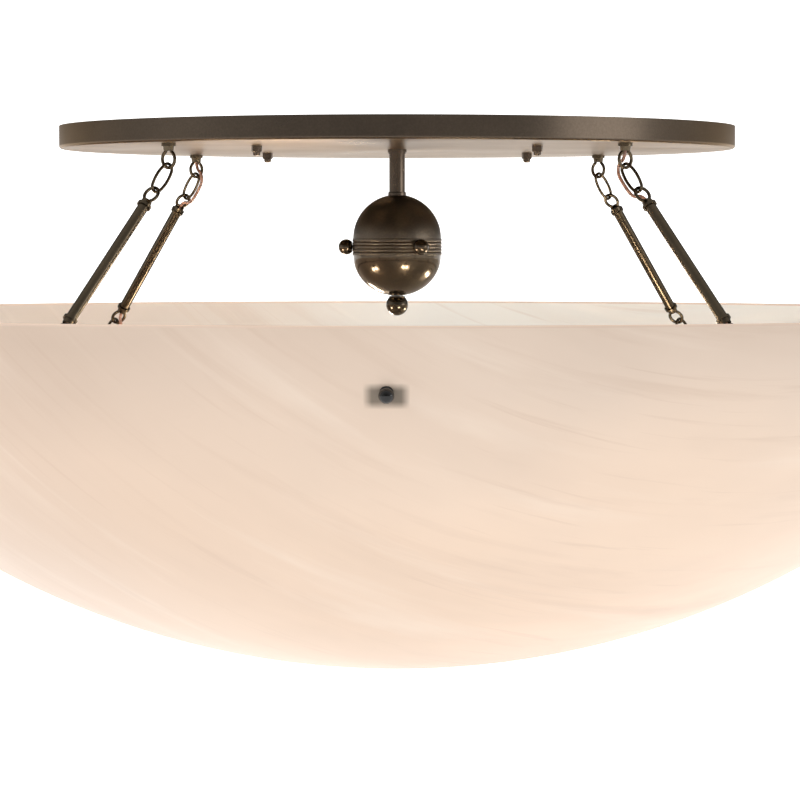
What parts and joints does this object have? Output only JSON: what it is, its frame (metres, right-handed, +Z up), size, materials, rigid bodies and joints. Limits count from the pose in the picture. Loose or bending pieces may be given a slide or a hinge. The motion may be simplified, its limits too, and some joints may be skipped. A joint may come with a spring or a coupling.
{
  "type": "semi flush ceiling light",
  "caption": "Wide alabaster-look bowl hung from a round ceiling pan by splayed rods and links, with a ball on a short stem over it and lamps inside.",
  "frame": {"origin": "centre of the pan's rim plane, which lies on the ceiling, at the middle of the bolt circle", "axes": "+Z up into the ceiling, -Y towards the viewer of the picture, +X to the viewer's right"},
  "size_m": [1.4865, 1.4866, 0.649],
  "materials": {
    "dark_bronze_pan": "semi-gloss dark bronze paint, pale cream sheen on the underside",
    "dark_bronze": "satin dark bronze",
    "satin_bronze": "satin lighter bronze",
    "bronze_steel": "satin dark bronze paint",
    "black_knob": "glossy black",
    "faux_alabaster": "veined translucent cast acrylic, satin polish",
    "gasket_rubber": "matte",
    "lampholder": "matte off-white",
    "lamp_cap": "rolled thread",
    "lamp_globe": "frosted",
    "lamp_cord": "translucent, copper strands show through",
    "zinc_steel": "zinc plated"
  },
  "bodies": {
    "ceiling": {"ceiling_pan": "dark_bronze_pan", "mounting_frame": "zinc_steel", "frame_studs": "zinc_steel", "cap_nuts": "dark_bronze", "ceiling_loops": "dark_bronze", "loop_locknuts": "zinc_steel", "stem_top_collar": "dark_bronze", "stem_tube": "dark_bronze", "stem_foot": "dark_bronze", "ball_upper_shell": "dark_bronze", "ball_band": "dark_bronze", "ball_lower_shell": "satin_bronze", "centre_pipe": "zinc_steel", "pipe_locknuts": "zinc_steel", "front_right_upper_cord": "lamp_cord", "back_left_upper_cord": "lamp_cord"},
    "bowl": {"bowl": "faux_alabaster", "bowl_hoop": "bronze_steel", "hoop_eyes": "dark_bronze", "wall_bolts": "zinc_steel", "inner_gaskets": "gasket_rubber", "outer_gaskets": "gasket_rubber", "lamp_brackets": "bronze_steel", "lampholders": "lampholder", "lamp_caps": "lamp_cap", "lamp_globes": "lamp_globe", "front_right_lower_cord": "lamp_cord", "back_left_lower_cord": "lamp_cord"},
    "front_right_upper_link": {"front_right_upper_link": "dark_bronze"},
    "front_right_rod": {"front_right_rod_tube": "dark_bronze", "front_right_rod_top_loop": "dark_bronze", "front_right_rod_bottom_loop": "dark_bronze", "front_right_rod_cord": "lamp_cord"},
    "front_right_lower_link": {"front_right_lower_link": "dark_bronze"},
    "back_right_upper_link": {"back_right_upper_link": "dark_bronze"},
    "back_right_rod": {"back_right_rod_tube": "dark_bronze", "back_right_rod_top_loop": "dark_bronze", "back_right_rod_bottom_loop": "dark_bronze"},
    "back_right_lower_link": {"back_right_lower_link": "dark_bronze"},
    "back_left_upper_link": {"back_left_upper_link": "dark_bronze"},
    "back_left_rod": {"back_left_rod_tube": "dark_bronze", "back_left_rod_top_loop": "dark_bronze", "back_left_rod_bottom_loop": "dark_bronze", "back_left_rod_cord": "lamp_cord"},
    "back_left_lower_link": {"back_left_lower_link": "dark_bronze"},
    "front_left_upper_link": {"front_left_upper_link": "dark_bronze"},
    "front_left_rod": {"front_left_rod_tube": "dark_bronze", "front_left_rod_top_loop": "dark_bronze", "front_left_rod_bottom_loop": "dark_bronze"},
    "front_left_lower_link": {"front_left_lower_link": "dark_bronze"},
    "ball_knob_1": {"ball_knob_1": "dark_bronze"},
    "ball_knob_2": {"ball_knob_2": "dark_bronze"},
    "ball_knob_3": {"ball_knob_3": "dark_bronze"},
    "ball_finial": {"ball_finial": "satin_bronze"},
    "wall_knob_right": {"wall_knob_right": "black_knob"},
    "wall_knob_back": {"wall_knob_back": "black_knob"},
    "wall_knob_left": {"wall_knob_left": "black_knob"},
    "wall_knob_front": {"wall_knob_front": "black_knob"}
  },
  "joints": [
    {"name": "bowl_sway", "type": "hinge", "parent": "ceiling", "child": "bowl", "pos_m": [0, 0, 0.37319], "axis": [0, 1, 0], "range_deg": [-1.5, 1.5]},
    {"name": "front_right_link_swing", "type": "hinge", "parent": "ceiling", "child": "front_right_upper_link", "pos_m": [0.25809, -0.25809, -0.05485], "axis": [0.7071, 0.7071, 0], "range_deg": [-3.3, 3.3], "deforming": ["front_right_upper_cord"]},
    {"name": "front_right_rod_tilt", "type": "hinge", "parent": "front_right_upper_link", "child": "front_right_rod", "pos_m": [0.27385, -0.27385, -0.08099], "axis": [0.538, -0.538, 0.6489], "range_deg": [-3.26, 3.26]},
    {"name": "front_right_low_link_tilt", "type": "hinge", "parent": "front_right_rod", "child": "front_right_lower_link", "pos_m": [0.37024, -0.37024, -0.24083], "axis": [0.538, -0.538, 0.6489], "range_deg": [-3.26, 3.26], "deforming": ["front_right_lower_cord"]},
    {"name": "back_right_link_swing", "type": "hinge", "parent": "ceiling", "child": "back_right_upper_link", "pos_m": [0.25809, 0.25809, -0.05485], "axis": [-0.7071, 0.7071, 0], "range_deg": [-3.3, 3.3]},
    {"name": "back_right_rod_tilt", "type": "hinge", "parent": "back_right_upper_link", "child": "back_right_rod", "pos_m": [0.27385, 0.27385, -0.08099], "axis": [0.538, 0.538, 0.6489], "range_deg": [-3.26, 3.26]},
    {"name": "back_right_low_link_tilt", "type": "hinge", "parent": "back_right_rod", "child": "back_right_lower_link", "pos_m": [0.37024, 0.37024, -0.24083], "axis": [0.538, 0.538, 0.6489], "range_deg": [-3.26, 3.26]},
    {"name": "back_left_link_swing", "type": "hinge", "parent": "ceiling", "child": "back_left_upper_link", "pos_m": [-0.25809, 0.25809, -0.05485], "axis": [-0.7071, -0.7071, 0], "range_deg": [-3.3, 3.3], "deforming": ["back_left_upper_cord"]},
    {"name": "back_left_rod_tilt", "type": "hinge", "parent": "back_left_upper_link", "child": "back_left_rod", "pos_m": [-0.27385, 0.27385, -0.08099], "axis": [-0.538, 0.538, 0.6489], "range_deg": [-3.26, 3.26]},
    {"name": "back_left_low_link_tilt", "type": "hinge", "parent": "back_left_rod", "child": "back_left_lower_link", "pos_m": [-0.37024, 0.37024, -0.24083], "axis": [-0.538, 0.538, 0.6489], "range_deg": [-3.26, 3.26], "deforming": ["back_left_lower_cord"]},
    {"name": "front_left_link_swing", "type": "hinge", "parent": "ceiling", "child": "front_left_upper_link", "pos_m": [-0.25809, -0.25809, -0.05485], "axis": [0.7071, -0.7071, 0], "range_deg": [-3.3, 3.3]},
    {"name": "front_left_rod_tilt", "type": "hinge", "parent": "front_left_upper_link", "child": "front_left_rod", "pos_m": [-0.27385, -0.27385, -0.08099], "axis": [-0.538, -0.538, 0.6489], "range_deg": [-3.26, 3.26]},
    {"name": "front_left_low_link_tilt", "type": "hinge", "parent": "front_left_rod", "child": "front_left_lower_link", "pos_m": [-0.37024, -0.37024, -0.24083], "axis": [-0.538, -0.538, 0.6489], "range_deg": [-3.26, 3.26]},
    {"name": "ball_knob_1_turn", "type": "hinge", "parent": "ceiling", "child": "ball_knob_1", "pos_m": [0.02901, 0.04554, -0.14435], "axis": [0.5373, 0.8434, 0], "continuous": true},
    {"name": "ball_knob_2_turn", "type": "hinge", "parent": "ceiling", "child": "ball_knob_2", "pos_m": [-0.05395, 0.00235, -0.14435], "axis": [-0.999, 0.0436, 0], "continuous": true},
    {"name": "ball_knob_3_turn", "type": "hinge", "parent": "ceiling", "child": "ball_knob_3", "pos_m": [0.02493, -0.0479, -0.14435], "axis": [0.4617, -0.887, 0], "continuous": true},
    {"name": "ball_finial_turn", "type": "hinge", "parent": "ceiling", "child": "ball_finial", "pos_m": [0, 0, -0.21415], "axis": [0, 0, 1], "continuous": true},
    {"name": "wall_knob_right_turn", "type": "hinge", "parent": "bowl", "child": "wall_knob_right", "pos_m": [0.71953, -0.01005, -0.28956], "axis": [0.9009, -0.0126, -0.4339], "continuous": true},
    {"name": "wall_knob_back_turn", "type": "hinge", "parent": "bowl", "child": "wall_knob_back", "pos_m": [0.01005, 0.71953, -0.28956], "axis": [0.0126, 0.9009, -0.4339], "continuous": true},
    {"name": "wall_knob_left_turn", "type": "hinge", "parent": "bowl", "child": "wall_knob_left", "pos_m": [-0.71953, 0.01005, -0.28956], "axis": [-0.9009, 0.0126, -0.4339], "continuous": true},
    {"name": "wall_knob_front_turn", "type": "hinge", "parent": "bowl", "child": "wall_knob_front", "pos_m": [-0.01005, -0.71953, -0.28956], "axis": [-0.0126, -0.9009, -0.4339], "continuous": true}
  ],
  "couplings": [
    {"joint": "front_right_link_swing", "follows": "bowl_sway", "ratio": 2.1686},
    {"joint": "front_right_rod_tilt", "follows": "bowl_sway", "ratio": -2.1379},
    {"joint": "front_right_low_link_tilt", "follows": "bowl_sway", "ratio": 2.1379},
    {"joint": "back_right_link_swing", "follows": "bowl_sway", "ratio": 2.1686},
    {"joint": "back_right_rod_tilt", "follows": "bowl_sway", "ratio": 2.1379},
    {"joint": "back_right_low_link_tilt", "follows": "bowl_sway", "ratio": -2.1379},
    {"joint": "back_left_link_swing", "follows": "bowl_sway", "ratio": -2.1686},
    {"joint": "back_left_rod_tilt", "follows": "bowl_sway", "ratio": 2.1379},
    {"joint": "back_left_low_link_tilt", "follows": "bowl_sway", "ratio": -2.1379},
    {"joint": "front_left_link_swing", "follows": "bowl_sway", "ratio": -2.1686},
    {"joint": "front_left_rod_tilt", "follows": "bowl_sway", "ratio": -2.1379},
    {"joint": "front_left_low_link_tilt", "follows": "bowl_sway", "ratio": 2.1379}
  ]
}
